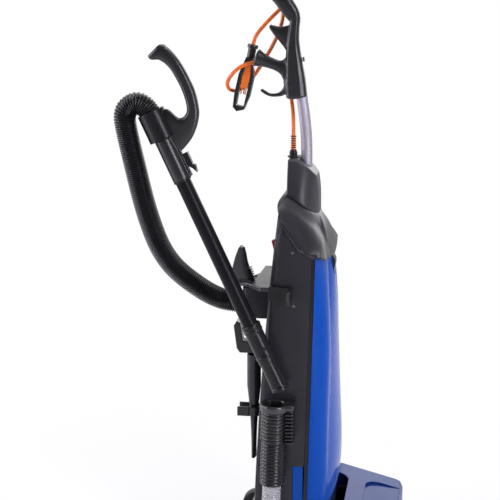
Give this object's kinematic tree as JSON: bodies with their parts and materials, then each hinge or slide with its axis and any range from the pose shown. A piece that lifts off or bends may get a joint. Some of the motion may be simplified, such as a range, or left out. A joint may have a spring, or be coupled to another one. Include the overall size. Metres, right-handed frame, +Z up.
{
  "type": "upright vacuum cleaner",
  "caption": "Upright vacuum cleaner with a charcoal body, blue bag door and hood, looped handle with cord hooks, and a lift-off wand on a ribbed hose.",
  "frame": {"origin": "centre of the footprint on the floor, the cord and the suction hose left out", "axes": "+X forward to the front of the head, +Y to the machine's left, +Z up"},
  "size_m": [0.5462, 0.386, 1.2501],
  "materials": {
    "charcoal_shell": "satin textured charcoal",
    "black_gloss": "glossy moulded black",
    "blue_gloss": "glossy royal blue",
    "tube_steel": "satin steel tube",
    "dark_steel": "black painted steel",
    "motor_metal": "grey motor case",
    "pin_brass": "bright",
    "orange_cord": "glossy orange sheath",
    "black_rubber": "soft black",
    "hose_black": "glossy ribbed hose",
    "hose_clear": "clear ribbed hose",
    "switch_red": "glossy red",
    "bag_paper": "paper dust bag",
    "filter_foam": "white filter felt",
    "bristle": "nylon tufts"
  },
  "bodies": {
    "power_head": {"head_chassis": "charcoal_shell", "hood": "blue_gloss", "bumper": "black_rubber", "sole_plate": "dark_steel", "brush_motor": "motor_metal", "drive_belt": "black_rubber", "brush_bearings": "black_gloss", "suction_trunnion": "black_gloss", "pivot_pin": "dark_steel", "rear_axle": "dark_steel", "roller_carriage": "dark_steel"},
    "brush_roller": {"brush_core": "charcoal_shell", "brush_bristles": "bristle"},
    "motor_pulley": {"motor_pulley": "motor_metal"},
    "front_rollers": {"front_rollers": "black_gloss"},
    "rear_wheel_left": {"rear_wheel_left": "black_gloss"},
    "rear_wheel_right": {"rear_wheel_right": "black_gloss"},
    "height_knob": {"height_knob": "black_gloss"},
    "release_pedal": {"release_pedal": "black_gloss"},
    "main_body": {"rear_housing": "charcoal_shell", "lower_housing": "blue_gloss", "motor_base": "charcoal_shell", "shoulder_cover": "charcoal_shell", "top_cap": "charcoal_shell", "handle_tube": "tube_steel", "handle_grip": "black_gloss", "body_screws": "dark_steel", "cable_gland": "black_rubber", "rear_hook": "charcoal_shell", "hose_inlet": "charcoal_shell", "wand_clip": "charcoal_shell", "tool_clip": "charcoal_shell", "lower_hook": "charcoal_shell", "crevice_tool": "charcoal_shell", "lower_hose": "hose_black", "clear_hose": "hose_clear", "hose_cuff": "black_gloss", "cuff_ribs": "black_gloss", "suction_elbow": "black_gloss", "bag_collar": "black_gloss", "filter_bag": "bag_paper", "suction_motor": "motor_metal", "motor_filter": "filter_foam", "exhaust_grille": "black_gloss", "compartment_floor": "charcoal_shell", "door_seal": "black_rubber", "mains_cord": "orange_cord", "cord_yoke": "black_gloss", "plug_body": "orange_cord", "vacuum_hose": "hose_black"},
    "fan_impeller": {"fan_impeller": "charcoal_shell"},
    "power_switch": {"power_switch": "switch_red"},
    "bag_door": {"bag_door": "blue_gloss"},
    "door_latch": {"door_latch": "charcoal_shell"},
    "wand": {"wand_tube": "black_gloss", "wand_adapter": "black_gloss", "wand_grip": "black_gloss"},
    "hose_collar": {"hose_collar": "black_gloss"},
    "wand_latch": {"wand_latch": "black_gloss"},
    "adapter_button": {"adapter_button": "black_gloss"}
  },
  "joints": [
    {"name": "recline", "type": "hinge", "parent": "power_head", "child": "main_body", "pos_m": [0, 0, 0.082], "axis": [0, -1, 0], "range_deg": [0, 50]},
    {"name": "brush_spin", "type": "hinge", "parent": "power_head", "child": "brush_roller", "pos_m": [0.208, 0, 0.032], "axis": [0, 1, 0], "continuous": true},
    {"name": "motor_pulley_spin", "type": "hinge", "parent": "power_head", "child": "motor_pulley", "pos_m": [0.144, 0.151, 0.042], "axis": [0, 1, 0], "continuous": true},
    {"name": "front_roller_spin", "type": "hinge", "parent": "power_head", "child": "front_rollers", "pos_m": [0.118, 0, 0.009], "axis": [0, 1, 0], "continuous": true},
    {"name": "left_wheel_spin", "type": "hinge", "parent": "power_head", "child": "rear_wheel_left", "pos_m": [-0.066, 0.1365, 0.032], "axis": [0, 1, 0], "continuous": true},
    {"name": "right_wheel_spin", "type": "hinge", "parent": "power_head", "child": "rear_wheel_right", "pos_m": [-0.066, -0.1365, 0.032], "axis": [0, 1, 0], "continuous": true},
    {"name": "height_knob_turn", "type": "hinge", "parent": "power_head", "child": "height_knob", "pos_m": [0.15, -0.163, 0.115], "axis": [0, 0, 1], "range_deg": [0, 240]},
    {"name": "pedal_press", "type": "hinge", "parent": "power_head", "child": "release_pedal", "pos_m": [-0.066, 0.076, 0.032], "axis": [0, -1, 0], "range_deg": [0, 14], "stiffness_Nm_per_rad": 0.6, "springref_deg": -6.88},
    {"name": "fan_spin", "type": "hinge", "parent": "main_body", "child": "fan_impeller", "pos_m": [0.008, -0.04, 0.182], "axis": [0, 1, 0], "continuous": true},
    {"name": "switch_rock", "type": "hinge", "parent": "main_body", "child": "power_switch", "pos_m": [0.0068, -0.095, 0.671], "axis": [0, 1, 0], "range_deg": [-10, 0]},
    {"name": "door_open", "type": "hinge", "parent": "main_body", "child": "bag_door", "pos_m": [0.1, 0, 0.117], "axis": [0, 1, 0], "range_deg": [0, 45]},
    {"name": "door_latch_turn", "type": "hinge", "parent": "bag_door", "child": "door_latch", "pos_m": [0.104, 0, 0.632], "axis": [0, -1, 0], "range_deg": [0, 25], "stiffness_Nm_per_rad": 0.05, "springref_deg": -5.73},
    {"name": "wand_swing", "type": "hinge", "parent": "main_body", "child": "wand", "pos_m": [0.0137, -0.16, 0.4239], "axis": [0, 1, 0], "range_deg": [0, 26.7], "deforming": ["vacuum_hose"]},
    {"name": "collar_swivel", "type": "hinge", "parent": "wand", "child": "hose_collar", "pos_m": [-0.21015, -0.16, 0.9038], "axis": [-0.4226, 0, 0.9063], "continuous": true},
    {"name": "wand_latch_press", "type": "hinge", "parent": "wand", "child": "wand_latch", "pos_m": [-0.15568, -0.16, 0.85086], "axis": [0, -1, 0], "range_deg": [0, 8], "stiffness_Nm_per_rad": 0.04, "springref_deg": -5.73},
    {"name": "adapter_button_press", "type": "slide", "parent": "wand", "child": "adapter_button", "axis": [0, 1, 0], "range_m": [0, 0.001], "stiffness_N_per_m": 300, "springref_m": -0.001}
  ],
  "couplings": [
    {"joint": "motor_pulley_spin", "follows": "brush_spin", "ratio": 2}
  ]
}
